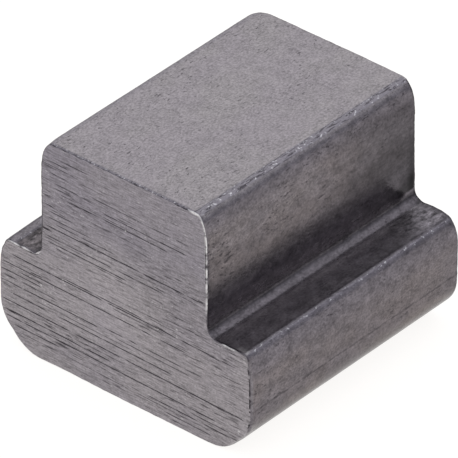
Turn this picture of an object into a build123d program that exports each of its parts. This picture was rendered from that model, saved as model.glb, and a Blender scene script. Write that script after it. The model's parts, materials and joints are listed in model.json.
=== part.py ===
"""T-slot nut blank, size 10: a short length sawn from drawn steel bar of T section.

The bar's neck stands up between the lips of a machine table's T-slot and its
flange lies in the undercut below them. The blank has no thread yet.

Frame: X across the bar, Y along it, Z up. The origin is the middle of the
base, so the flange stands on z = 0 and the sawn ends face -Y and +Y.
All sizes are in millimetres.
"""

import os

from build123d import *

# Section of the bar
FLANGE_WIDTH = 14.8  # across the foot of the T
FLANGE_HEIGHT = 5.7  # base to the shoulders that bear on the slot's lips
NECK_WIDTH = 9.7  # across the upright, which guides in a 10 mm slot
TOTAL_HEIGHT = 12.0  # base to the top of the neck

# Length left between the two saw cuts
LENGTH = 14.4

# Convex long edges as the die leaves them, each a quarter of an ellipse: it
# turns quickly where it leaves the top face and runs out slowly down the side.
NECK_EDGE_IN = 0.6  # how far in from the side the top face goes flat
NECK_EDGE_DOWN = 1.7  # how far down from the top the side goes flat
FLANGE_EDGE_IN = 0.5
FLANGE_EDGE_DOWN = 1.75

# Other long edges
ROOT_RADIUS = 0.55  # hollow corner between neck and shoulder
BASE_CHAMFER = 1.6  # 45 degree lead along both lower edges of the flange
BASE_BLEND = 2.0  # radius that rounds each chamfer into the base and the side

# Arris taken off all round each sawn end when the blank is deburred
SAWN_EDGE_BREAK = 0.08


def die_rounded_edge(side, top, inward, down):
    """Quarter ellipse that joins the side at x = side to the top face at z = top."""
    return EllipticalCenterArc((side - inward, top - down), inward, down, 0, arc_size=90)


def bar_section():
    """The T section as one face, standing where the bar's +Y end will be."""
    side = FLANGE_WIDTH / 2
    neck = NECK_WIDTH / 2
    neck_flat = neck - NECK_EDGE_IN
    with BuildSketch(Plane.XZ.offset(-LENGTH / 2)) as section:
        with BuildLine():
            FilletPolyline(
                (-side, FLANGE_HEIGHT - FLANGE_EDGE_DOWN),
                (-side, BASE_CHAMFER),
                (BASE_CHAMFER - side, 0),
                (side - BASE_CHAMFER, 0),
                (side, BASE_CHAMFER),
                (side, FLANGE_HEIGHT - FLANGE_EDGE_DOWN),
                radius=BASE_BLEND,
            )
            flange_edge = die_rounded_edge(side, FLANGE_HEIGHT, FLANGE_EDGE_IN, FLANGE_EDGE_DOWN)
            shoulder = FilletPolyline(
                (side - FLANGE_EDGE_IN, FLANGE_HEIGHT),
                (neck, FLANGE_HEIGHT),
                (neck, TOTAL_HEIGHT - NECK_EDGE_DOWN),
                radius=ROOT_RADIUS,
            )
            neck_edge = die_rounded_edge(neck, TOTAL_HEIGHT, NECK_EDGE_IN, NECK_EDGE_DOWN)
            mirror([flange_edge, shoulder, neck_edge], about=Plane.YZ)
            Line((-neck_flat, TOTAL_HEIGHT), (neck_flat, TOTAL_HEIGHT))
        make_face()
    return section.sketch


def t_slot_nut():
    """The bar cut to length, with the arris off both sawn ends."""
    blank = extrude(bar_section(), amount=LENGTH)
    along = blank.faces().sort_by(Axis.Y)
    sawn_edges = along[0].edges() + along[-1].edges()
    return chamfer(sawn_edges, SAWN_EDGE_BREAK)


if __name__ == "__main__":
    nut = t_slot_nut()
    nut.label = "t_slot_nut"
    os.makedirs("parts", exist_ok=True)
    export_step(nut, "parts/t_slot_nut.step")
    size = nut.bounding_box().size
    print(f"t_slot_nut {size.X:.2f} x {size.Y:.2f} x {size.Z:.2f} mm, {nut.volume:.1f} mm3")
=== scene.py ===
"""A T-slot nut blank: a short length sawn from drawn steel bar of T section.

The blank is one shell, built in the row frame: X across the section, Y along the bar, Z up.
An end is -1 for the sawn end at -Y, called the front, and 1 for the back. Properties, floor and
camera are in metres. The shell is worked out in plain millimetres and scaled when it becomes a mesh.
"""
import json
import math
import random
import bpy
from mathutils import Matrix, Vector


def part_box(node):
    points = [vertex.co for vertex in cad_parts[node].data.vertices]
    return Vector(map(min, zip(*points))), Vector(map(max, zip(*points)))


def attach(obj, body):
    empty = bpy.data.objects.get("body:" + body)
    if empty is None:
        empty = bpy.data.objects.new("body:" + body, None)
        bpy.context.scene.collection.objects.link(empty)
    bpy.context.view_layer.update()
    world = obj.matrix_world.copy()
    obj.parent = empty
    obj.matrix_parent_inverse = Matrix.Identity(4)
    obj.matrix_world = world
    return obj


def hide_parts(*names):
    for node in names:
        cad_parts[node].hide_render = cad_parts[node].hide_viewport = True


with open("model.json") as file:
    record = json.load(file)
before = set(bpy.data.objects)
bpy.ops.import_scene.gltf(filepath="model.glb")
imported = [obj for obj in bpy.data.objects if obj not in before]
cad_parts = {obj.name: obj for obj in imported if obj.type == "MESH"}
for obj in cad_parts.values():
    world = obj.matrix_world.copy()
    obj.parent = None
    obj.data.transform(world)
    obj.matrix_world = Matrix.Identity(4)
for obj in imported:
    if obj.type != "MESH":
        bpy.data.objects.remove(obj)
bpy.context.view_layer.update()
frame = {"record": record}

from types import SimpleNamespace

import bpy
import numpy as np
from bpy.props import FloatProperty, FloatVectorProperty, IntProperty, PointerProperty
from mathutils import Matrix, Vector, noise

bl_info = {
    "name": "T-slot Nut Blank",
    "version": (1, 0, 0),
    "blender": (4, 5, 0),
    "location": "3D View > Sidebar > Nut",
    "description": "Makes a sawn length of drawn steel T bar, and a plain stage for it",
    "category": "Add Mesh",
}

MM = 0.001
NODE = "t_slot_nut"
CAMERA_TARGET = Vector((0.414, -0.511, 6.034)) * MM
BAR_HIGH = Vector(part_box(NODE)[1])
MOUNTS = {mount["name"]: Vector(mount["pos_m"]) for mount in frame["record"]["mounts"]}


# ---------------------------------------------------------------- sizes and looks


def length(name, description, default):
    """A property that holds a length, with its default in millimetres."""
    return FloatProperty(name=name, description=description, default=default * MM,
                         subtype="DISTANCE", unit="LENGTH", precision=6)


def amount(name, description, default):
    """A property that holds a plain number."""
    return FloatProperty(name=name, description=description, default=default, precision=3)


def angle(name, description, degrees):
    """A property that holds an angle, with its default in degrees."""
    return FloatProperty(name=name, description=description, default=math.radians(degrees),
                         subtype="ANGLE", unit="ROTATION")


def colour(name, description, default):
    """A property that holds a colour."""
    return FloatVectorProperty(name=name, description=description, default=default, size=3,
                               subtype="COLOR", min=0.0, max=1.0)


def in_mm(group):
    """The values of a group of properties, with its lengths in millimetres."""
    values = {name: getattr(group, name) for name in group.__annotations__}
    lengths = [name for name in values if group.bl_rna.properties[name].unit == "LENGTH"]
    return SimpleNamespace(**values | {name: values[name] / MM for name in lengths})


class SectionSizes(bpy.types.PropertyGroup):
    """The T section that the die gives the bar."""
    flange_half: length("Flange half width", "Middle of the bar to the side of the flange",
                        BAR_HIGH.x / MM)
    neck_half: length("Neck half width", "Middle of the bar to the side of the neck",
                      MOUNTS["neck_right"].x / MM)
    shoulder: length("Shoulder height", "Base to the shoulders", MOUNTS["shoulder_right"].z / MM)
    top: length("Top height", "Base to the top of the neck", BAR_HIGH.z / MM)
    half_length: length("Half length", "Middle of the bar to a sawn end", BAR_HIGH.y / MM)
    neck_edge_in: length("Neck edge in", "Rounding of the neck's top edge, across", 0.6)
    neck_edge_down: length("Neck edge down", "Rounding of the neck's top edge, downward", 1.7)
    flange_edge_in: length("Flange edge in", "Rounding of the flange's top edge, across", 0.5)
    flange_edge_down: length("Flange edge down", "Rounding of the flange's top edge, downward", 1.75)
    root_radius: length("Root radius", "Hollow between the neck and a shoulder", 0.55)
    base_chamfer: length("Base chamfer", "Each leg of the chamfers along the base", 1.6)
    base_blend: length("Base blend", "Radius that blends the chamfers into their faces", 2.0)


class SawMarks(bpy.types.PropertyGroup):
    """What the saw left on the two ends."""
    edge_round: length("Edge round", "Rounding of the edges round a sawn end", 0.05)
    collar: length("Collar", "Width of the strip beside the edge where the burr is pressed flat", 0.075)
    line_slope: amount("Line slope", "Fall of the saw lines across the face, height for width", 0.019)
    line_pitch: length("Line pitch", "Usual distance between two saw lines", 0.2)
    line_half: length("Line half width", "Half the width of a saw line", 0.040)
    line_depth: length("Line depth", "Depth of the deepest saw line", 0.028)
    seed: IntProperty(name="Seed", description="Starts the random lines, nicks and pits", default=7)


class SteelFinish(bpy.types.PropertyGroup):
    """Colours of the steel."""
    skin: colour("Drawn skin", "Sides and shoulders as drawn", (0.138, 0.126, 0.141))
    skin_warm: colour("Warm skin", "Browner patches of the drawn skin", (0.153, 0.130, 0.127))
    # The rubbed top's colour also serves as painted highlight beside the root and on the rim low at the
    # front end.
    rubbed: colour("Rubbed top", "Top face, rubbed lighter", (0.318, 0.291, 0.304))
    rubbed_warm: colour("Warm rubbed top", "Yellower patches of the top face", (0.320, 0.297, 0.300))
    sawn: colour("Sawn steel", "The two sawn ends", (0.243, 0.225, 0.253))
    sawn_warm: colour("Warm sawn steel", "Warmer patches of the sawn ends", (0.288, 0.267, 0.281))
    # Painted shade: a nearly black colour laid in the saw lines, pits, chips and cracks, where their shade
    # falls, over the real scoring.
    score: colour("Score", "Bottom of the saw lines and pits", (0.030, 0.026, 0.031))
    # Painted highlight as well as burrs and nicks: a bright colour for the shining line along the burrs,
    # glints and light dashes on the sawn ends, and light patches on the skin.
    bare: colour("Bare steel", "Burrs and nicks", (0.70, 0.685, 0.69))
    # Painted sheen: a lighter, bluer strip along the rounded crests, partly worn steel.
    crest: colour("Crest", "Strip along the worn crests", (0.208, 0.195, 0.226))
    # Painted glints: bright specks laid along the crests, partly worn steel.
    worn: colour("Worn steel", "Bright specks of the worn crests", (0.56, 0.55, 0.575))


class StageLook(bpy.types.PropertyGroup):
    """Floor, light and camera."""
    floor_half: length("Floor half width", "Middle of the floor to its edge", 20000.0)
    floor: colour("Floor", "Colour of the floor", (0.17, 0.17, 0.168))
    floor_glow: colour("Floor glow", "Light the floor gives off to sight and to gloss",
                       (0.905, 0.89, 0.875))
    sky_low: colour("Sky low", "Light of the sky along the horizon", (0.55, 0.56, 0.60))
    sky_high: colour("Sky high", "Light of the sky overhead", (0.95, 0.96, 0.99))
    sky_strength: amount("Sky strength", "Strength of the sky", 1.22)
    sky_from: amount("Sky from", "Height where the sky starts to grow light, overhead being 1", 0.05)
    sky_to: amount("Sky to", "Height where the sky is as light as overhead", 0.75)
    camera_azimuth: angle("Camera azimuth", "Turn of the camera from the front to the right", 40.509)
    camera_elevation: angle("Camera elevation", "Height of the camera over the horizon", 34.205)
    camera_roll: angle("Camera roll", "Turn of the camera about its own axis", -0.058)
    camera_distance: length("Camera distance", "Camera to the point it looks at", 423.0)
    camera_lens: FloatProperty(name="Lens", description="Focal length in millimetres", default=742.6)


# ---------------------------------------------------------------- the drawn section


def smooth(value):
    """Eases from 0 to 1 as value goes from 0 to 1."""
    value = np.clip(value, 0, 1)
    return value * value * (3 - 2 * value)


def ramp(value, start, span):
    """Eases from 0 to 1 as value goes from start to start + span. A span below 0 runs downward."""
    return smooth((value - start) / span)


def between(value, low, high, ease):
    """1 where value lies between low and high, easing to 0 outside."""
    return ramp(value, low - ease, ease) * ramp(value, high + ease, -ease)


def hump(value, middle, width):
    """1 where value is at the middle, falling to 0 on either side."""
    return np.exp(-((value - middle) / width) ** 2)


def ripple(points, scale, seed):
    """Smooth noise between -1 and 1, with scale in waves for each millimetre."""
    shift = Vector((seed * 7.31, seed * 3.17, seed * 5.77))
    scaled = (points * np.asarray(scale)).reshape(-1, 3)
    return np.array([noise.noise(Vector(p) + shift) for p in scaled]).reshape(points.shape[:-1])


def arc(centre, radii, start, stop, steps=48):
    """Points on a quarter or an eighth of an ellipse, between two angles in degrees."""
    turn = np.radians(np.linspace(start, stop, steps))
    return np.column_stack([centre[0] + radii[0] * np.cos(turn), centre[1] + radii[1] * np.sin(turn)])


class Section:
    """The right half of the section's outline, by its length from the middle of the base."""

    STEP = 0.01

    def __init__(self, sizes, inset):
        blend, chamfer = sizes.base_blend, sizes.base_chamfer
        tangent = blend * math.tan(math.radians(45) / 2)
        foot_x = sizes.flange_half - chamfer - tangent
        flange_x = sizes.flange_half - sizes.flange_edge_in
        root_x = sizes.neck_half + sizes.root_radius
        neck_x = sizes.neck_half - sizes.neck_edge_in
        runs = [
            [(0.0, 0.0)],
            arc((foot_x, blend), (blend, blend), -90, -45),
            arc((sizes.flange_half - blend, chamfer + tangent), (blend, blend), -45, 0),
            arc((flange_x, sizes.shoulder - sizes.flange_edge_down),
                (sizes.flange_edge_in, sizes.flange_edge_down), 0, 90),
            arc((root_x, sizes.shoulder + sizes.root_radius), (sizes.root_radius,) * 2, 270, 180),
            arc((neck_x, sizes.top - sizes.neck_edge_down),
                (sizes.neck_edge_in, sizes.neck_edge_down), 0, 90),
            [(0.0, sizes.top)],
        ]
        points = np.vstack(runs)
        travelled = np.r_[0, np.cumsum(np.linalg.norm(np.diff(points, axis=0), axis=1))]
        stops = np.cumsum([len(run) for run in runs])
        starts = travelled[stops[:-1]]
        ends = travelled[stops - 1]
        self.foot_end, _, _, self.root_start, _, self.full = starts
        _, _, self.side_start, self.flange_crest, self.root_end, self.neck_crest, _ = ends
        self.along = np.linspace(0, self.full, int(self.full / self.STEP) + 1)
        self.x = np.interp(self.along, travelled, points[:, 0])
        self.z = np.interp(self.along, travelled, points[:, 1])
        dx, dz = np.gradient(self.x), np.gradient(self.z)
        size = np.hypot(dx, dz)
        self.out_x, self.out_z = dz / size, -dx / size
        self.in_x = self.x - inset * self.out_x
        self.in_z = self.z - inset * self.out_z

    def at(self, along):
        """Outline points and outward directions at these lengths: x, z, out x, out z."""
        return tuple(np.interp(along, self.along, values)
                     for values in (self.x, self.z, self.out_x, self.out_z))

    def fold(self, rounds):
        """Lengths on the half outline for lengths round the whole bar, and which are on the left."""
        left = rounds > self.full
        return np.where(left, 2 * self.full - rounds, rounds), left

    def around(self, rounds):
        """Points and outward directions at lengths round the whole outline."""
        along, left = self.fold(rounds)
        x, z, out_x, out_z = self.at(along)
        sign = np.where(left, -1.0, 1.0)
        return x * sign, z, out_x * sign, out_z

    def reach(self, height, below_shoulder):
        """Length along the outline, and half width of the inset outline, at these heights."""
        first, last = ((self.foot_end, self.flange_crest) if below_shoulder
                       else (self.root_start, self.neck_crest))
        used = (self.along >= first) & (self.along <= last)
        along = np.interp(height, np.maximum.accumulate(self.in_z[used]), self.along[used])
        return along, np.interp(along, self.along, self.in_x)


# ---------------------------------------------------------------- the shell


class Shell:
    """Points, faces and finishes of the blank, gathered before they become one mesh."""

    FINISHES = ("score", "bare", "rubbed", "crest", "dull_and_shade", "warm", "haze", "streaked")

    def __init__(self):
        self.points, self.finish, self.faces, self.materials, self.count = [], [], [], [], 0

    def add_points(self, points, **finish):
        """Adds points of shape (..., 3) and returns their numbers in the same shape."""
        shape = points.shape[:-1]
        number = int(np.prod(shape))
        self.points.append(points.reshape(-1, 3))
        columns = [np.broadcast_to(finish.get(name, 0.0), shape).reshape(-1) for name in self.FINISHES]
        self.finish.append(np.column_stack(columns))
        self.count += number
        return np.arange(self.count - number, self.count).reshape(shape)

    def add_faces(self, faces, material):
        """Adds faces, each a row of point numbers."""
        self.faces.extend(faces.tolist())
        self.materials.extend([material] * len(faces))

    def add_lattice(self, numbers, material):
        """Adds the quads between neighbouring rows and columns of points."""
        quads = np.stack([numbers[:-1, :-1], numbers[1:, :-1], numbers[1:, 1:], numbers[:-1, 1:]], -1)
        self.add_faces(quads.reshape(-1, 4), material)

    def add_hoop(self, numbers, material):
        """Adds the quads between closed rings of points, one ring a row."""
        self.add_lattice(np.column_stack([numbers, numbers[:, :1]]), material)

    def zip_rings(self, first, first_round, second, second_round, end, material):
        """Joins two closed rings with triangles. The second values say how far round each point is."""
        triangles, i, j = [], 0, 0
        while i < len(first) or j < len(second):
            next_first = first_round[i + 1] if i + 1 < len(first) else 2.0 + i - len(first)
            next_second = second_round[j + 1] if j + 1 < len(second) else 2.0 + j - len(second)
            a, b = first[i % len(first)], second[j % len(second)]
            if j >= len(second) or (i < len(first) and next_first <= next_second):
                triangles.append((a, first[(i + 1) % len(first)], b))
                i += 1
            else:
                triangles.append((a, second[(j + 1) % len(second)], b))
                j += 1
        self.add_faces(np.array(triangles)[:, ::end], material)

    def make_object(self, name):
        """Makes the mesh and its object, with each finish as an attribute of the points."""
        mesh = bpy.data.meshes.new(name)
        mesh.from_pydata((np.vstack(self.points) * MM).tolist(), [], self.faces)
        finish = np.vstack(self.finish)
        for column, label in enumerate(self.FINISHES):
            layer = mesh.attributes.new(label, "FLOAT", "POINT")
            layer.data.foreach_set("value", finish[:, column].astype(np.float32))
        mesh.polygons.foreach_set("material_index", self.materials)
        mesh.polygons.foreach_set("use_smooth", [True] * len(mesh.polygons))
        mesh.update()
        mesh.validate()
        made = bpy.data.objects.new(name, mesh)
        bpy.context.scene.collection.objects.link(made)
        return made


SKIN, SAWN = 0, 1    # the blank's materials

# Spacing of the shell's points, on a sawn face and on the skin. Gaps and reach are in mm.
ROW_GAP, LEAST_ROW_GAP = 0.11, 0.012
INNER_COLUMNS, OUTER_COLUMNS = 22, 6
SKIN_GAP, CREST_GAP, CREST_REACH = 0.115, 0.055, 0.38
SKIN_RINGS = 98
SLOPE_ROUNDS = 5    # times a sloped row's ends are looked for again

# Places where the blank is worn in or stands out: place, push and reach, in mm.
WORN_CORNERS = (
    ((-4.28, 7.15, 11.95), (0.03, -0.05, -0.09), 0.38),
    ((-4.47, 7.2, 11.90), (0.02, -0.03, -0.055), 0.20),
    ((4.55, 7.2, 11.95), (-0.04, -0.03, -0.045), 0.45),
    ((4.85, 7.2, 9.6), (-0.014, -0.014, 0.0), 1.50),
    ((4.85, 7.2, 6.9), (0.014, 0.010, 0.0), 0.60),
    ((7.10, 7.2, 5.60), (-0.04, -0.04, -0.07), 0.50),
    ((6.10, 7.2, 5.70), (0.0, 0.015, 0.03), 0.60),
    ((-4.45, -7.2, 11.95), (0.03, 0.02, -0.05), 0.40),
    ((7.4, 7.2, 4.9), (0.014, 0.012, 0.0), 0.70),
    ((7.4, 7.2, 2.4), (-0.010, -0.010, 0.0), 1.20),
    ((-3.6, -7.2, 0.0), (0.0, 0.02, 0.03), 1.60),
    ((-6.9, -4.6, 5.7), (-0.02, 0.0, 0.05), 1.60),
    ((7.05, -7.2, 5.55), (0.08, 0.0, 0.0), 0.36),
    ((-7.2, -7.2, 5.45), (0.045, 0.0, -0.03), 0.24),
    ((-4.85, -7.2, 6.5), (-0.05, 0.0, 0.0), 0.65),
)

# The deepest saw lines of the front end: height in the middle, left end, right end, strength. In mm.
DEEP_LINES = (
    (11.25, -4.2, -2.0, 0.6), (10.98, -4.5, -3.1, 0.5), (10.76, -4.5, -2.6, 0.5), (10.36, -4.5, -3.2, 0.6),
    (10.56, -3.4, -1.0, 0.35), (10.13, -4.4, -2.0, 0.95), (10.12, -2.0, 4.0, 0.45), (9.88, -4.2, -2.5, 0.5),
    (9.62, -4.2, -2.9, 0.8), (9.58, -1.3, 3.8, 0.6), (9.27, -4.1, 2.8, 0.55), (8.78, -1.5, 1.6, 0.3),
    (8.57, -4.7, -4.0, 0.8), (8.26, -4.6, -2.0, 0.5), (7.92, -4.6, -1.3, 0.6), (7.70, -4.2, -0.4, 0.55),
    (7.43, -4.7, 4.5, 0.9), (6.90, -4.7, 2.4, 0.65), (6.60, -4.7, 0.2, 0.7), (5.28, -1.2, 3.4, 0.3),
    (4.88, -7.0, 6.7, 0.9), (4.33, -7.3, 3.6, 0.75), (4.10, -6.4, -4.5, 0.6), (3.62, -7.3, -4.0, 0.6),
    (3.44, -1.3, 4.6, 0.6), (3.30, -7.4, -1.5, 0.8), (3.18, -1.0, 3.9, 0.5), (2.77, -7.2, 2.9, 0.75),
    (2.28, -7.4, 7.0, 1.0), (1.77, -7.2, -0.7, 1.0), (1.45, -7.1, 5.4, 0.8), (1.10, -6.6, -3.8, 0.9),
    (0.96, 0.3, 6.2, 0.75), (0.80, -6.4, -3.9, 1.0), (0.78, -3.9, 5.6, 0.6), (0.55, 2.2, 5.2, 0.6),
)


def line_heights(sizes, marks, draw):
    """Heights of all the saw lines in the middle of the face, deep ones first, then the others."""
    heights = [line[0] for line in DEEP_LINES]
    gap = marks.line_half * 2.4
    height, highest = 0.35, sizes.top - 1.2
    while height < highest:
        if min(abs(height - other) for other in (*heights, sizes.shoulder)) > gap:
            heights.append(height)
        height += marks.line_pitch * draw.uniform(0.55, 1.45)
    return heights


def row_heights(sizes, marks, heights):
    """Heights of every row of the face's lattice: three for a saw line, and others to fill."""
    inset = marks.edge_round + marks.collar
    low, shoulder, high = inset, sizes.shoulder - inset, sizes.top - inset
    rows = {low, shoulder, high}
    for height in heights:
        rows.update((height - marks.line_half, height, height + marks.line_half))
    for edge in (low, shoulder, high):
        rows.update(edge + step for step in (-0.12, -0.05, 0.05, 0.12))
    rows = sorted(row for row in rows if low <= row <= high)
    kept = [rows[0]]
    for row in rows[1:]:
        last = kept[-1]
        gap = row - last
        if gap < LEAST_ROW_GAP and row not in (shoulder, high):
            continue
        pieces = math.ceil(gap / ROW_GAP)
        kept.extend(last + gap * step / pieces for step in range(1, pieces + 1))
    return np.array(kept)


def line_strengths(x, rows, heights, draw, front):
    """How deep each point of the lattice lies in a saw line, from 0 to 1."""
    strength = np.zeros_like(x)
    for number, height in enumerate(heights):
        row = int(np.argmin(abs(rows - height)))
        deep = number < len(DEEP_LINES)
        if front and deep:
            _, left, right, most = DEEP_LINES[number]
        else:
            middle = draw.uniform(-7.5, 5.0)
            reach = draw.uniform(3.0, 7.5) if deep else draw.uniform(0.7, 3.4)
            left, right = middle - reach, middle + reach
            low_face = 1.0 - 0.55 * ramp(height, 2.5, 7.5)
            most = draw.uniform(0.45, 1.0) if deep else draw.uniform(0.15, 0.75) * low_face
        inside = ramp(x[row], left, 0.35) * ramp(x[row], right, -0.35)
        spots = np.stack(np.broadcast_arrays(x[row], height, number), -1)
        broken = smooth(ripple(spots, (1.5, 1, 1), 3) * 2.6 + 1.45)
        ragged = 0.80 + 0.45 * ripple(spots, (3.1, 1, 1), 5)
        strength[row] = most * inside * broken * ragged
    return strength


def sawn_face(shell, section, sizes, marks, end):
    """One sawn end. Returns its rim: point numbers, and how far round the outline each is."""
    heights = line_heights(sizes, marks, random.Random(marks.seed))
    rows = row_heights(sizes, marks, heights)
    shoulder = sizes.shoulder - marks.edge_round - marks.collar
    split = int(np.argmin(abs(rows - shoulder)))

    wide = section.at(section.flange_crest)[0]
    narrow = section.at(section.root_start)[0]
    inner_part = np.linspace(0, narrow / wide, INNER_COLUMNS + 1)
    outer_part = np.linspace(narrow / wide, 1, OUTER_COLUMNS + 1)[1:]
    half = np.r_[inner_part, outer_part]
    low_columns = np.r_[-half[:0:-1], half]
    high_columns = low_columns[OUTER_COLUMNS:-OUTER_COLUMNS] * wide / narrow

    grids, sides, numbers = [], [], []
    for columns, used, below in ((low_columns, rows[:split + 1], True),
                                 (high_columns, rows[split:], False)):
        near = np.min([abs(used - edge) for edge in (0, shoulder, sizes.top)], axis=0)
        slope = marks.line_slope * smooth(near / 0.6)
        ends = {}
        for side in (-1, 1):
            height = used
            for _ in range(SLOPE_ROUNDS):
                along, width = section.reach(height, below)
                height = used - side * slope * width
            ends[side] = along, width
        x = columns * np.where(columns < 0, ends[-1][1][:, None], ends[1][1][:, None])
        z = used[:, None] - slope[:, None] * x
        draw = random.Random(marks.seed + end + 2 * below)
        strength = line_strengths(x, used, heights, draw, end < 0)
        flat = np.stack([x, np.zeros_like(x), z], -1)
        swell = 0.010 * ripple(flat, (0.12, 1, 1.1), 11 + end)
        chatter = 0.004 * ripple(flat, (0.3, 1, 5.0), 13 + end)
        y = end * (sizes.half_length - strength * marks.line_depth - swell - chatter)
        first = 0 if below else 1
        numbers.append(shell.add_points(np.stack([x, y, z], -1)[first:], score=strength[first:]))
        grids.append(x)
        sides.append(ends)
    low, high = numbers
    high = np.vstack([low[-1:, OUTER_COLUMNS:-OUTER_COLUMNS], high])
    for block in (low, high):
        shell.add_lattice(block if end > 0 else block[:, ::-1], SAWN)

    rim, rounds = [], []

    def note(block_numbers, lengths):
        rim.extend(block_numbers.tolist())
        rounds.extend(lengths.tolist())

    whole = 2 * section.full
    bottom, step, top = grids[0][0], grids[0][-1], grids[1][-1, 1:-1]
    note(low[0], np.where(bottom < 0, whole + bottom, bottom))
    for side, column, ledge in ((1, -1, slice(-OUTER_COLUMNS, -1)), (-1, 0, slice(1, OUTER_COLUMNS))):
        start = 0 if side > 0 else whole
        note(low[1:, column], start + side * sides[0][side][0][1:])
        note(low[-1, ledge], start + side * (section.flange_crest + wide - abs(step[ledge])))
        note(high[:, column], start + side * sides[1][side][0])
    note(high[-1, 1:-1], section.full - top)
    order = np.argsort(rounds)
    return np.array(rim)[order], np.array(rounds)[order]


def burr_height(sizes, x, z):
    """How far the saw pushed up a burr round the front end, from 0 to 1."""
    neck = between(z, 7.6, 11.9, 0.9) * (x > 0.8 * sizes.neck_half) * (z > 1.1 * sizes.shoulder)
    neck *= 1 + 0.4 * ramp(z, 10.9, 0.5)
    ledges = 1.2 * between(-x, 5.1, 6.8, 0.2) + 0.7 * between(x, 5.8, 6.5, 0.15)
    return np.clip(neck + ledges * (abs(z - sizes.shoulder) < 0.3), 0, 1.3)


def skin_lift(points):
    """How far the drawn skin stands out or in at these points."""
    return 0.010 * ripple(points, (0.25, 0.22, 0.25), 21) + 0.0035 * ripple(points, (1.7, 1.2, 1.7), 23)


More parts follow.
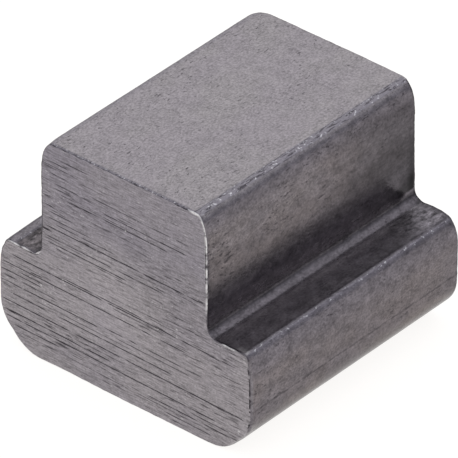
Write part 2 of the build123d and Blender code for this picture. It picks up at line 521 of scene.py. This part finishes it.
def sawn_rim(shell, section, sizes, marks, end, rim, rounds):
    """The collar and broken edge round a sawn end. Returns its outer ring of point numbers."""
    front, back = end < 0, end > 0
    x, z, out_x, out_z = section.around(rounds)
    path = np.column_stack([x, np.full_like(x, end * sizes.half_length), z])
    jag = ripple(path, 2.6, 31 + end)
    fine = ripple(path, 8.0, 33 + end)
    lift = skin_lift(path)

    crown = ramp(z, sizes.top - 0.1, 0.08)
    if front:
        burr = burr_height(sizes, x, z)
        flank = ramp(z, 5.5, -0.2) * ramp(x / sizes.flange_half, 0.78, 0.08)
    else:
        burr = np.zeros_like(x)
        flank = 0.4 * (z > 6.5) * (x > 0.5 * sizes.neck_half)
    left_neck = between(z, 6.3, 11.0, 0.4) * (x < -0.8 * sizes.neck_half) * (z > 1.05 * sizes.shoulder)
    left_corner = between(z, 4.7, 5.62, 0.3) * (x < -0.87 * sizes.flange_half)
    left_lip = front * np.maximum(left_neck, 0.6 * left_corner)
    inner_line = between(z, 8.7, 10.7, 0.5)
    on_ledge = (burr > 0) * (z < 1.1 * sizes.shoulder)
    radius = marks.edge_round + marks.collar * np.maximum(0.9 * flank, 0.12 * crown * back)
    collar = marks.collar * (1 - 0.9 * flank)
    sunk = end * sizes.half_length - np.vstack(shell.points)[rim][:, 1]
    line = np.vstack(shell.finish)[rim][:, shell.FINISHES.index("score")]
    rings = [rim]

    def add_ring(out, inward, share, **finish):
        y = end * (sizes.half_length - inward) - sunk * share
        rings.append(shell.add_points(np.column_stack([x + out_x * out, y, z + out_z * out]), **finish))

    chips = np.clip(0.15 - 1.0 * jag - 0.9 * fine, 0, 1) * (0.35 + 0.65 * crown) * (1 - flank)
    chips *= 1.0 if front else 0.15
    # Painted shade along the crack at the flange's front right edge.
    crack = 0.45 * between(z, 2.0, 4.9, 0.3) + 0.55 * between(z, 2.0, 3.7, 0.3)
    crack *= front * flank * np.clip(0.62 - 1.5 * jag - 1.3 * fine, 0, 1)
    second = np.clip(burr * (0.15 + 0.70 * inner_line + 1.2 * jag + 0.9 * fine), 0, 1)
    valley = np.clip(burr, 0, 1)
    # Painted shade in the groove behind the burr.
    groove = valley * (0.55 - 0.7 * fine + 0.4 * jag) * np.maximum(inner_line, on_ledge)
    filled = valley * np.clip(0.45 + 0.8 * jag + 0.6 * fine, 0, 1) * (1 - inner_line) * (1 - on_ledge)
    brink = burr * np.clip(0.8 + 1.1 * jag + 0.5 * fine, 0, 1)
    split = np.maximum(chips, crack) + 0.4 * left_lip
    for inset, inward, share, bare, score in ((0.75, -0.014 * second, 0.9, 0.8 * second, 0.0),
                                              (0.40, 0.0, 0.6, filled, groove),
                                              (0.00, 0.02 * crack, 0.3, brink, split)):
        score = np.clip(line * share + score, 0, 1)
        add_ring(-radius - collar * inset, inward, share, bare=bare, score=score)

    # How bright the burr line is painted: partly burr steel, partly painted highlight.
    first = burr * np.where(on_ledge, 0.50 + 1.5 * jag + 1.4 * fine, 1.05 + 1.0 * jag + 0.9 * fine)
    first = np.clip(first, 0, 1)
    wave = 0.010 + (0.020 + 0.035 * on_ledge) * burr
    stand = first * 0.036 + wave * (jag + fine) - 0.03 * crown * chips
    # Painted shade of the chips, the front crown and the lip on the left neck edge.
    dark = np.clip(chips + 0.25 * crown * front + 0.6 * left_lip, 0, 1) * (1 - flank)
    tip = ramp(x / sizes.flange_half, 0.84, 0.06) * back
    # Painted shade in the crevice along the rim, stronger as a dark contour on the right at the back.
    shaded = 0.35 + (0.40 - 0.18 * ramp(z, 10.0, 0.4)) * (x > 0) * back
    shaded *= (1 - flank * front) * (1 - crown * back) * (1 - 0.7 * tip)
    # Painted highlight on the rim of the flank, most near the foot, lightening its shade.
    foot_end = flank * (0.25 + 0.45 * ramp(z, 1.9, -0.5))
    foot_highlight = 0.35 * flank * ramp(z, 1.7, -0.4) * front
    low_lip = 0.7 - 0.45 * between(z, 10.2, 11.6, 0.3)
    skin = {"rubbed": np.maximum(crown, foot_end), "dull_and_shade": shaded * (1 - first)}
    for degrees, bare, score, finish in ((30, first, 0.5 * crack, {}),
                                         (60, low_lip * first, 0.0, skin),
                                         (90, 0.0, 0.0, skin)):
        turn = math.radians(degrees)
        middle = math.sin(2 * turn)
        out = radius * (math.sin(turn) - 1) + stand * middle + lift * math.sin(turn) ** 2
        inward = radius * (1 - math.cos(turn)) - 0.6 * stand * middle
        add_ring(out, inward, 0.0, bare=bare + foot_highlight, score=0.8 * dark * middle + score,
                 crest=crown * front, **finish)
    hoops = np.array(rings) if front else np.array(rings)[:, ::-1]
    shell.add_hoop(hoops[:5], SAWN)
    shell.add_hoop(hoops[4:], SKIN)
    return rings[-1]


def skin_rounds(section):
    """Lengths round the outline where the drawn skin has points, closer along its two crests."""
    half, place = [], 0.0
    while place < section.full:
        half.append(place)
        near = min(abs(place - crest) for crest in (section.flange_crest + 0.1, section.neck_crest))
        place += CREST_GAP if near < CREST_REACH else SKIN_GAP
    half = np.array(half) * section.full / place
    return np.r_[half, 2 * section.full - np.r_[half[:0:-1], 0][:-1]]


def side_shade_and_patches(y, z):
    """How much darker the neck's right side is: painted shade in bands, one of which moves the edge of the
    shoulder's shadow, darker patches near both ends, and a little lighter high up toward the front.
    """
    far_end = ramp(y, 3.2, 2.2) * ramp(z, 5.9, 0.6) * ramp(z, 9.6, -0.6)
    tip = 0.45 * ramp(y, 5.6, 0.7) * ramp(z, 7.9, -1.0)
    tip += 0.30 * ramp(y, 6.5, 0.4) * ramp(z, 9.2, -1.0)
    tip += 0.18 * ramp(y, 6.0, 0.5) * ramp(z, 7.4, -0.5)
    tail = ramp(y, 3.0, 2.5) * between(z, 7.9, 9.2, 0.4)
    dull_and_shade = (0.35 - 0.07 * tail) * ramp(y, 0.5, 5.5) * ramp(z, 7.6, 0.8) + 0.22 * far_end
    dull_and_shade += 0.24 * hump(z, 8.75, 0.42) * ramp(y, -0.6, 3.4)
    dull_and_shade += 0.26 * hump(z, 9.08, 0.14) * between(y, -4.4, -1.4, 0.6)
    # Painted shade: the band at 7.85 mm moves the edge of the shoulder's shadow upward.
    dull_and_shade = np.minimum(dull_and_shade + 0.32 * hump(z, 7.85, 0.55), 0.62 - 0.08 * tail)
    dull_and_shade = 1 - (1 - dull_and_shade) * (1 - tip)
    dull_and_shade -= 0.10 * between(z, 9.2, 10.9, 0.5) * ramp(y, 2.0, -2.0)
    patchy = 0.15 * between(y, -2.7, -1.0, 0.4) - 0.12 * between(y, 0.0, 1.7, 0.5)
    dull_and_shade += patchy * hump(z, 8.3, 0.28)
    dull_and_shade += 0.25 * ramp(y, -6.85, -0.15) * between(z, 8.0, 11.6, 0.4)
    return dull_and_shade * ramp(z, 11.6, -0.7)


def root_shade_and_highlight(section, along, x, y):
    """Painted shade in the root's concave curve and on the shoulder beside it, and how much painted
    highlight lightens the bend between.
    """
    into = along - section.root_start
    # Painted shade in the root's concave curve, strongest a little way in.
    hollow_shade = 0.35 * ramp(into, 0.24, 0.20) + 0.65 * ramp(into, 0.42, 0.24)
    hollow_shade *= ramp(into, 0.84, -0.20)
    bend = hump(into, 0.03, np.where(into > 0.03, 0.07, 0.22))
    near = ramp(y, -4.8, -2.0)
    dull_and_shade = (0.60 + 0.10 * near) * hollow_shade + (0.46 + 0.14 * near) * hump(into, 0.19, 0.075)
    dull_and_shade += 0.35 * hump(along, section.flange_crest - 0.03, 0.08)
    dull_and_shade += 0.15 * hollow_shade * ramp(y, 5.2, 0.8) + 0.3 * bend * ramp(y, 5.8, 0.7)
    shelf = (along > section.flange_crest + 0.1) & (along < section.root_start + 0.3)
    dull_and_shade += 0.40 * ramp(y, 6.6, 0.35) * ramp(x, 6.62, -0.15) * shelf
    # Painted highlight: lightens the bend where the root meets the shoulder.
    lighter = 0.55 * bend * (x > 0) * (1 - 0.5 * ramp(y, 4.0, 1.0))
    return np.minimum(dull_and_shade, 0.85), lighter


def skin_tones(section, along, x, y, z):
    """How much dullness and painted shade, warmth, haze and streaks the drawn skin has at these points,
    each from 0 to 1.
    """
    right = x > 0
    side = (along > section.root_end) & (along < section.neck_crest)
    # Painted shade of the root, and the painted highlight of its bend.
    root, lighter = root_shade_and_highlight(section, along, x, y)
    dull_and_shade = np.maximum(side_shade_and_patches(y, z) * side * right, root) - lighter
    foot = ramp(z, 2.1, -0.5) * (z > 0.2) * (along < section.side_start)
    dull_and_shade = np.maximum(dull_and_shade, 0.10 * foot)
    ledge = between(along, section.flange_crest + 0.45, section.root_start + 0.3, 0.10)
    left_dull = (0.28 + 0.10 * ramp(y, -6.4, -0.5)) * ledge
    dull_and_shade = np.where(right, dull_and_shade, np.maximum(dull_and_shade, left_dull))
    flank = (along > section.foot_end) & (along < section.flange_crest - 0.3)
    dull_and_shade -= (0.04 + 0.08 * ramp(y, -2.5, -3.0)) * flank
    # Painted highlight: the foot near the front right is lightened.
    dull_and_shade -= 0.42 * ramp(y, -6.45, -0.5) * ramp(z, 2.3, -0.8) * (z > 0.1)
    dull_and_shade += 0.12 * right * between(z, 5.15, 5.5, 0.1) * ramp(y, 2.6, 1.5)

    neck = ramp(z, 7.3, 1.3) * ramp(z, 11.5, -0.9) * (0.48 - 0.33 * ramp(y, 1.0, 5.0))
    flange = 0.45 * ramp(z, 5.2, -1.2) + 0.55 * ramp(z, 2.5, -1.0)
    warm = np.where(side, neck, np.where(along < section.flange_crest, flange, 0.0))
    warm = np.where(along > section.neck_crest, 0.5, warm)
    warm = np.where(right, warm, np.maximum(warm, 0.6 * ledge))
    haze = between(along, section.flange_crest, section.root_start - 0.1, 0.15)
    streaked = np.where(right, 0.9 * haze * ramp(y, 3.6, 2.2), ledge)
    return {"dull_and_shade": dull_and_shade, "warm": warm, "haze": haze, "streaked": streaked}


def skin_rubbing_and_highlight(section, along, left, x, y, z):
    """How far the drawn skin is rubbed lighter at these points, from 0 to 1, with painted highlight at the
    bend beside the root, where its shade falls.
    """
    ease = np.where(left, 1.20, 0.60)
    top = ramp(along, section.neck_crest + 0.05 - ease, ease)
    outer = between(along - section.flange_crest, -0.30, 0.30, 0.10) * left
    shoulder = between(along, section.flange_crest + 0.15, section.root_start + 0.04, 0.15)
    above = np.maximum(0.8 * ramp(z, 6.95, -0.25), 1.4 * ramp(z, 6.54, -0.2)) * ramp(z, 6.06, 0.12)
    shoulder = np.maximum(shoulder, above * (1 - ramp(y, 5.4, 0.8)))
    into = along - section.root_start
    # Painted highlight: the bend beside the root is lightened against its shade.
    bend = hump(into, -0.05, np.where(into > -0.05, 0.10, 0.24)) * (1 - 0.6 * ramp(y, 4.6, 1.0))
    pale = between(z, 9.8, 10.9, 0.3) * between(y, -7.2, 0.0, 0.8)
    return np.maximum(top, 0.19 * shoulder + 0.22 * outer + (0.22 * bend + 0.11 * pale) * (x > 0))


def drawn_skin(shell, section, sizes, marks, rounds):
    """The drawn faces between the two sawn rims. Returns the first and last ring of point numbers."""
    x, z, out_x, out_z = section.around(rounds)
    along, left = section.fold(rounds)
    edge = sizes.half_length - marks.edge_round - marks.collar - 0.05
    y = np.linspace(-edge, edge, SKIN_RINGS)[:, None]
    grid = np.stack(np.broadcast_arrays(x, y, z), -1)
    neck = between(along - section.neck_crest, -0.20, 0.11, 0.07) * np.where(left, 0.3, 1.0)
    flange = hump(along, section.flange_crest - 0.18, 0.075)
    seam = hump(along, section.flange_crest + 0.42, 0.06) * left
    jag = ripple(grid, (3.0, 2.2, 3.0), 41)
    fine = ripple(grid, (7.0, 5.0, 7.0), 43)
    lift = skin_lift(grid) + neck * (0.010 * jag + 0.008 * fine) + flange * 0.006 * jag
    lip = ramp(y, 0.16 - sizes.half_length, -0.1) * (along > section.neck_crest)
    crest = np.maximum(np.clip(neck + 0.75 * flange + 0.7 * seam, 0, 1), lip)
    # Painted highlight: a light patch at the front right corner of the ledge, partly burr.
    corner_highlight = ramp(y, -6.7, -0.3) * ramp(x, 6.35, 0.2)
    corner_highlight *= between(along, section.flange_crest - 0.05, section.root_start, 0.1)
    # Painted highlight on the foot near the front right.
    foot = ramp(y, -6.5, -0.5) * between(z, 0.1, 1.8, 0.2) * (x > 0)
    out = np.stack([out_x, np.zeros_like(x), out_z], -1)
    hoops = shell.add_points(grid + out * lift[..., None], bare=0.4 * corner_highlight + 0.15 * foot, crest=crest,
                             rubbed=skin_rubbing_and_highlight(section, along, left, x, y, z),
                             **skin_tones(section, along, x, y, z))
    shell.add_hoop(hoops, SKIN)
    return hoops[0], hoops[-1]


def worn_corners(points, corners):
    """Moves points in toward the steel, or a little out, at the worn corners."""
    for place, push, reach in corners:
        away = np.linalg.norm(points - np.array(place), axis=-1)
        points = points + hump(away, 0, reach)[..., None] * np.array(push)
    return points


def build_blank(sizes, marks):
    """The whole blank as one closed shell."""
    section = Section(sizes, marks.edge_round + marks.collar)
    shell = Shell()
    rounds = skin_rounds(section)
    first, last = drawn_skin(shell, section, sizes, marks, rounds)
    whole = 2 * section.full
    for end, ring in ((-1, first), (1, last)):
        rim, rim_rounds = sawn_face(shell, section, sizes, marks, end)
        outer = sawn_rim(shell, section, sizes, marks, end, rim, rim_rounds)
        shell.zip_rings(outer, rim_rounds / whole, ring, rounds / whole, end, SKIN)
    shell.points = [worn_corners(np.vstack(shell.points), WORN_CORNERS)]
    return shell


# ---------------------------------------------------------------- steel

BUMP_DISTANCE = 0.03 * MM


def put(tree, kind, values=None, **settings):
    """Adds a node. Values are for its inputs, as numbers or as outputs to link; settings are its own."""
    made = tree.nodes.new(kind)
    for name, value in settings.items():
        setattr(made, name, value)
    for name, value in (values or {}).items():
        value = getattr(value, "socket", value)
        if isinstance(value, bpy.types.NodeSocket):
            tree.links.new(value, made.inputs[name])
        else:
            made.inputs[name].default_value = value
    return made


class Value:
    """A number or colour that nodes work out. Its sums and products with others are nodes too."""

    def __init__(self, socket):
        self.socket = socket

    def join(self, kind, first, second):
        """A plain operation of two values, with its node in this value's tree."""
        made = put(self.socket.id_data, "ShaderNodeMath", {0: first, 1: second}, operation=kind)
        return Value(made.outputs[0])

    def __add__(self, other):
        return self.join("ADD", self, other)

    def __mul__(self, other):
        return self.join("MULTIPLY", self, other)

    def __sub__(self, other):
        return self.join("SUBTRACT", self, other)

    def __rsub__(self, other):
        return self.join("SUBTRACT", other, self)

    def __abs__(self):
        return self.join("ABSOLUTE", self, 0.0)

    __radd__, __rmul__ = __add__, __mul__

    def most(self, other):
        """The larger of the two."""
        return self.join("MAXIMUM", self, other)

    def remap(self, low, high, to_low=0.0, to_high=1.0):
        """Moves the range low..high to another range, and stops at its ends."""
        made = put(self.socket.id_data, "ShaderNodeMapRange",
                   {"Value": self, "From Min": low, "From Max": high, "To Min": to_low, "To Max": to_high})
        return Value(made.outputs[0])


def blend(factor, first, second):
    """A mix of two colours."""
    first, second = (colour if isinstance(colour, Value) else (*colour, 1.0) for colour in (first, second))
    made = put(factor.socket.id_data, "ShaderNodeMix", {0: factor, 6: first, 7: second}, data_type="RGBA")
    return Value(made.outputs[2])


class Steel:
    """A metal material, with the tone that its nodes have painted so far. Its coordinates are in mm."""

    def __init__(self, name):
        self.material = bpy.data.materials.new(name)
        self.material.use_nodes = True
        self.tree = self.material.node_tree
        self.shader = self.tree.nodes["Principled BSDF"]
        place = put(self.tree, "ShaderNodeTexCoord").outputs["Object"]
        self.place = Value(put(self.tree, "ShaderNodeVectorMath", {0: place, 1: (1 / MM,) * 3},
                               operation="MULTIPLY").outputs[0])
        axes = put(self.tree, "ShaderNodeSeparateXYZ", {0: self.place}).outputs
        self.x, self.y, self.z = (Value(axes[axis]) for axis in "XYZ")
        self.tone = None

    def stretch(self, scale, turn=0.0, shift=(0, 0, 0)):
        """Coordinates turned about Y and shifted, then scaled."""
        turned = put(self.tree, "ShaderNodeMapping", {"Vector": self.place, "Rotation": (0, turn, 0),
                                                      "Location": shift}, vector_type="POINT").outputs[0]
        scaled = put(self.tree, "ShaderNodeVectorMath", {0: turned, 1: scale}, operation="MULTIPLY")
        return Value(scaled.outputs[0])

    def grain(self, scale, detail=2.0, rough=0.5, turn=0.0, shift=(0, 0, 0)):
        """Noise from 0 to 1, with scale in waves for each millimetre."""
        made = put(self.tree, "ShaderNodeTexNoise", {"Vector": self.stretch(scale, turn, shift),
                                                     "Scale": 1.0, "Detail": detail, "Roughness": rough})
        return Value(made.outputs["Fac"])

    def finish(self, name):
        """One of the shell's finishes."""
        made = put(self.tree, "ShaderNodeAttribute", attribute_type="GEOMETRY", attribute_name=name)
        return Value(made.outputs["Fac"])

    def shade(self, value):
        """Makes the tone darker or lighter by a value."""
        made = put(self.tree, "ShaderNodeVectorMath", {0: self.tone, "Scale": value}, operation="SCALE")
        self.tone = Value(made.outputs[0])

    def cover(self, factor, colour):
        """Lays a colour over the tone, as far as the factor says."""
        self.tone = blend(factor, self.tone, colour)

    def complete(self, roughness, height, strength):
        """Gives the shader its tone, roughness and relief. Returns the material."""
        bump = put(self.tree, "ShaderNodeBump", {"Strength": strength, "Distance": BUMP_DISTANCE,
                                                 "Height": height})
        inputs = self.shader.inputs
        self.tree.links.new(self.tone.socket, inputs["Base Color"])
        self.tree.links.new(roughness.socket, inputs["Roughness"])
        self.tree.links.new(bump.outputs[0], inputs["Normal"])
        inputs["Metallic"].default_value = 1.0
        return self.material


def sawn_steel(looks, line_slope):
    """The sawn ends: mid grey, scored by the saw, with a fine broken grain."""
    steel = Steel("sawn_steel")
    x, z = steel.x, steel.z
    turn = -math.atan(line_slope)
    long_lines = steel.grain((0.22, 0.4, 7.0), 5.0, 0.62, turn)
    dashes = steel.grain((0.9, 1.0, 15.0), 3.0, 0.6, turn, (3, 0, 5))
    fine = steel.grain((2.0, 1.0, 17.0), 3.0, 0.6, turn, (5, 0, 2))
    speckle = steel.grain((9.0, 9.0, 10.0), 2.0, 0.6)
    cloud = steel.grain((0.22, 0.2, 0.3), 3.0, 0.5)
    crowd = steel.grain((0.35, 0.3, 0.9), 2.0, 0.5, turn, (7, 2, 4))

    warm = z.remap(9.3, 6.0) * 0.6 + cloud.remap(0.38, 0.62, 0.0, 0.5)
    steel.tone = blend(warm, looks.sawn, looks.sawn_warm)
    calm = x.remap(-5.5, -0.8) * x.remap(1.5, 0.0) * z.remap(8.4, 5.4) * z.remap(2.2, 3.0)
    flat = x.remap(-0.6, 0.7) * z.remap(4.9, 5.8) * z.remap(9.2, 8.2)
    shade = fine.remap(0.25, 0.75, 0.61, 1.42) + speckle.remap(0.25, 0.75, -0.26, 0.26)
    shade += long_lines.remap(0.3, 0.7, -0.08, 0.08)
    steel.shade(shade + calm * 0.15 - flat * 0.06)

    busy = crowd.remap(0.40, 0.56) * z.remap(11.6, 8.0, 0.15, 1.0)
    busy += x.remap(0.5, -3.5, 0.0, 0.7) * z.remap(11.6, 11.0) * z.remap(7.0, 8.5)
    busy *= 1.0 - calm * 0.7
    # Painted shade in short dashes along the saw lines.
    steel.cover(dashes.remap(0.42, 0.355) * busy * 0.92, looks.score)
    # Painted highlight: light dashes beside the saw lines.
    steel.cover(dashes.remap(0.60, 0.70) * speckle.remap(0.45, 0.6) * 0.4, looks.bare)
    broken = steel.grain((2.4, 1, 3.5), 3.0, 0.6, turn).remap(0.36, 0.5, 0.65, 1.0)
    # Painted shade in the saw lines, as deep as they lie.
    steel.cover(steel.finish("score").remap(0.04, 0.34) * broken, looks.score)
    # Painted glints on the sawn face.
    glint = steel.grain((3.6, 3.6, 6.0), 3.0, 0.6, shift=(9, 3, 1)).remap(0.64, 0.72)
    steel.cover(glint * crowd.remap(0.42, 0.58, 0.0, 0.6), looks.bare)
    gaps = steel.grain((5.0, 5.0, 5.0), shift=(1, 8, 3)).remap(0.38, 0.48, 0.25, 1.0)
    # Painted highlight of the burr line, broken by gaps.
    steel.cover(steel.finish("bare") * gaps, looks.bare)

    height = long_lines * 0.5 + fine * 0.35 + speckle * 0.2
    return steel.complete(speckle.remap(0.3, 0.7, 0.40, 0.54), height, 0.6)


def drawn_steel(looks):
    """The drawn skin: darker on its sides and shoulders, lighter where the top is rubbed, with painted
    shade and painted highlight laid on from the shell's finishes.
    """
    steel = Steel("drawn_steel")
    mottle = steel.grain((2.4, 1.5, 2.4), 5.0, 0.66)
    patch = steel.grain((0.45, 0.3, 0.45), 3.0, 0.55, shift=(4, 4, 4))
    speckle = steel.grain((10.0, 7.0, 10.0), 2.0, 0.65)
    dashes = steel.grain((9.0, 3.0, 9.0), 2.0, 0.55, shift=(2, 7, 1))
    streaks = steel.grain((4.6, 2.2, 4.6), 3.0, 0.65, shift=(3, 9, 2))
    scuffs = steel.grain((13.0, 1.6, 13.0), 3.0, 0.6, shift=(6, 2, 9))
    sparks = steel.grain((8.0, 5.0, 8.0), 2.0, 0.6, shift=(2, 5, 3))
    rubbed, crest = steel.finish("rubbed"), steel.finish("crest")

    warm = steel.finish("warm") * patch.remap(0.36, 0.60, 0.55, 1.25)
    skin = blend(warm, looks.skin, looks.skin_warm)
    top = blend(patch.remap(0.42, 0.60, 0.0, 0.75), looks.rubbed, looks.rubbed_warm)
    steel.tone = blend(rubbed, skin, top)
    uneven = mottle.remap(0.25, 0.75, -0.40, 0.40) * (1.0 - rubbed * 0.45)
    uneven += speckle.remap(0.25, 0.75, -0.34, 0.34)
    streaked = streaks.remap(0.30, 0.70, -0.95, 0.75) * steel.finish("streaked")
    # Painted shade and dullness: the tone darkens as far as that finish says; where the finish falls below
    # 0 it lightens, as painted highlight.
    steel.shade((1.0 + uneven) * (1.0 - steel.finish("dull_and_shade")) * (1.0 + streaked))

    edge = steel.y.remap(-4.6, -6.6) + steel.x.remap(-3.0, -4.4)
    crowd = (steel.grain((0.5, 0.4, 0.5), shift=(8, 1, 6)) + edge * 0.08).remap(0.41, 0.60)
    cells = put(steel.tree, "ShaderNodeTexVoronoi",
                {"Vector": steel.stretch((2.6, 2.0, 2.6), shift=(1, 2, 3)), "Randomness": 1.0})
    pits = Value(cells.outputs["Distance"]).remap(0.17, 0.07) * crowd
    dents = (dashes.remap(0.39, 0.31) * crowd).most(pits)
    # Painted shade in the pits and dents.
    steel.cover(dents * 0.75, looks.score)
    # Painted sheen along the crests, partly worn steel.
    steel.cover(crest * 0.7, looks.crest)
    steel.cover(scuffs.remap(0.48, 0.42) * crest * 0.75, looks.score)
    # Painted glints along the crests.
    steel.cover(sparks.remap(0.595, 0.68) * crest, looks.worn)
    drawn_line = abs(steel.z - 2.70).remap(0.075, 0.02) * abs(steel.x).remap(7.1, 7.3)
    steel.cover(drawn_line * dashes.remap(0.62, 0.42, 0.12, 0.6), looks.score)
    # Painted shade from the shell's saw lines, chips and cracks.
    steel.cover(steel.finish("score"), looks.score)
    # Painted highlight of the burr line, and light patches at the front right corner and foot.
    steel.cover(steel.finish("bare"), looks.bare)

    height = mottle * 0.45 + speckle * 0.4 - dents * 0.35 + scuffs * crest * 1.2
    roughness = rubbed.remap(0.0, 1.0, 0.20, 0.46) + mottle.remap(0.3, 0.7, -0.04, 0.06)
    steel.shader.inputs["Specular Tint"].default_value = (0.8, 0.8, 0.8, 1.0)
    return steel.complete(roughness + steel.finish("haze") * 0.14, height, 0.45)


# ---------------------------------------------------------------- floor, light and camera


def pale_floor(look):
    """A wide floor that keeps the blank's shadow."""
    mesh = bpy.data.meshes.new("floor")
    half = look.floor_half
    corners = [(-half, -half, 0), (half, -half, 0), (half, half, 0), (-half, half, 0)]
    mesh.from_pydata(corners, [], [(0, 1, 2, 3)])
    floor = bpy.data.objects.new("floor", mesh)
    bpy.context.scene.collection.objects.link(floor)
    material = bpy.data.materials.new("pale_floor")
    material.use_nodes = True
    tree = material.node_tree
    tree.nodes.remove(tree.nodes["Principled BSDF"])
    path = put(tree, "ShaderNodeLightPath").outputs
    seen = Value(path["Is Camera Ray"]).most(path["Is Glossy Ray"]).most(path["Is Transmission Ray"])
    paint = put(tree, "ShaderNodeBsdfDiffuse", {"Color": (*look.floor, 1)})
    glow = put(tree, "ShaderNodeEmission", {"Color": (*look.floor_glow, 1), "Strength": seen})
    both = put(tree, "ShaderNodeAddShader", {0: paint.outputs[0], 1: glow.outputs[0]})
    tree.links.new(both.outputs[0], tree.nodes["Material Output"].inputs["Surface"])
    mesh.materials.append(material)


def soft_sky(look):
    """A sky that is dim and cool along the horizon and grows light overhead."""
    world = bpy.data.worlds.new("soft_sky")
    world.use_nodes = True
    tree = world.node_tree
    direction = put(tree, "ShaderNodeTexCoord").outputs["Generated"]
    height = put(tree, "ShaderNodeSeparateXYZ", {0: direction}).outputs["Z"]
    rise = put(tree, "ShaderNodeMapRange", {"Value": height, "From Min": look.sky_from,
                                            "From Max": look.sky_to}, interpolation_type="SMOOTHSTEP")
    light = blend(Value(rise.outputs[0]), look.sky_low, look.sky_high)
    background = tree.nodes["Background"]
    tree.links.new(light.socket, background.inputs["Color"])
    background.inputs["Strength"].default_value = look.sky_strength
    bpy.context.scene.world = world


def aim_camera(look):
    """The camera, on a long lens, level but for a slight roll."""
    turn, rise = look.camera_azimuth, look.camera_elevation
    back = Vector((math.sin(turn) * math.cos(rise), -math.cos(turn) * math.cos(rise), math.sin(rise)))
    data = bpy.data.cameras.new("camera")
    data.lens, data.sensor_width = look.camera_lens, 36.0
    data.clip_start, data.clip_end = 0.01, 100.0
    camera = bpy.data.objects.new("camera", data)
    face = back.to_track_quat("Z", "Y").to_matrix().to_4x4()
    roll = Matrix.Rotation(look.camera_roll, 4, "Z")
    camera.matrix_world = Matrix.Translation(CAMERA_TARGET + back * look.camera_distance) @ face @ roll
    bpy.context.scene.collection.objects.link(camera)
    bpy.context.scene.camera = camera


# ---------------------------------------------------------------- add-on


class NUT_OT_blank(bpy.types.Operator):
    """Make the sawn steel blank in place of its plain solid"""
    bl_idname = "nut.make_blank"
    bl_label = "Make Blank"

    def execute(self, context):
        scene = context.scene
        blank = build_blank(in_mm(scene.nut_section), in_mm(scene.nut_marks)).make_object("nut_blank")
        blank.data.materials.append(drawn_steel(scene.nut_steel))
        blank.data.materials.append(sawn_steel(scene.nut_steel, scene.nut_marks.line_slope))
        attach(blank, "root")
        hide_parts(NODE)
        return {"FINISHED"}


class NUT_OT_stage(bpy.types.Operator):
    """Set the floor, the soft light and the camera"""
    bl_idname = "nut.set_stage"
    bl_label = "Set Stage"

    def execute(self, context):
        look = context.scene.nut_stage
        pale_floor(look)
        soft_sky(look)
        aim_camera(look)
        return {"FINISHED"}


class NUT_PT_panel(bpy.types.Panel):
    """The sidebar panel with the blank's sizes and steps"""
    bl_label = "T-slot Nut Blank"
    bl_idname = "NUT_PT_panel"
    bl_space_type = "VIEW_3D"
    bl_region_type = "UI"
    bl_category = "Nut"

    def draw(self, context):
        for name, group in GROUPS.items():
            box = self.layout.box()
            box.label(text=group.__doc__)
            for field in group.__annotations__:
                box.prop(getattr(context.scene, name), field)
        for step in STEPS:
            self.layout.operator(step.bl_idname)


GROUPS = {"nut_section": SectionSizes, "nut_marks": SawMarks,
          "nut_steel": SteelFinish, "nut_stage": StageLook}
STEPS = (NUT_OT_blank, NUT_OT_stage)


def register():
    """Registers the classes and gives each scene its sizes and looks."""
    for name, group in GROUPS.items():
        bpy.utils.register_class(group)
        setattr(bpy.types.Scene, name, PointerProperty(type=group))
    for made in (*STEPS, NUT_PT_panel):
        bpy.utils.register_class(made)


def unregister():
    """Takes the classes and the scenes' sizes and looks away again."""
    for made in (NUT_PT_panel, *reversed(STEPS)):
        bpy.utils.unregister_class(made)
    for name, group in reversed(GROUPS.items()):
        delattr(bpy.types.Scene, name)
        bpy.utils.unregister_class(group)


def main():
    """Makes everything in order."""
    register()
    bpy.context.scene.view_settings.view_transform = "Standard"
    bpy.ops.nut.make_blank()
    bpy.ops.nut.set_stage()
    bpy.context.view_layer.update()


if __name__ == "__main__":
    main()
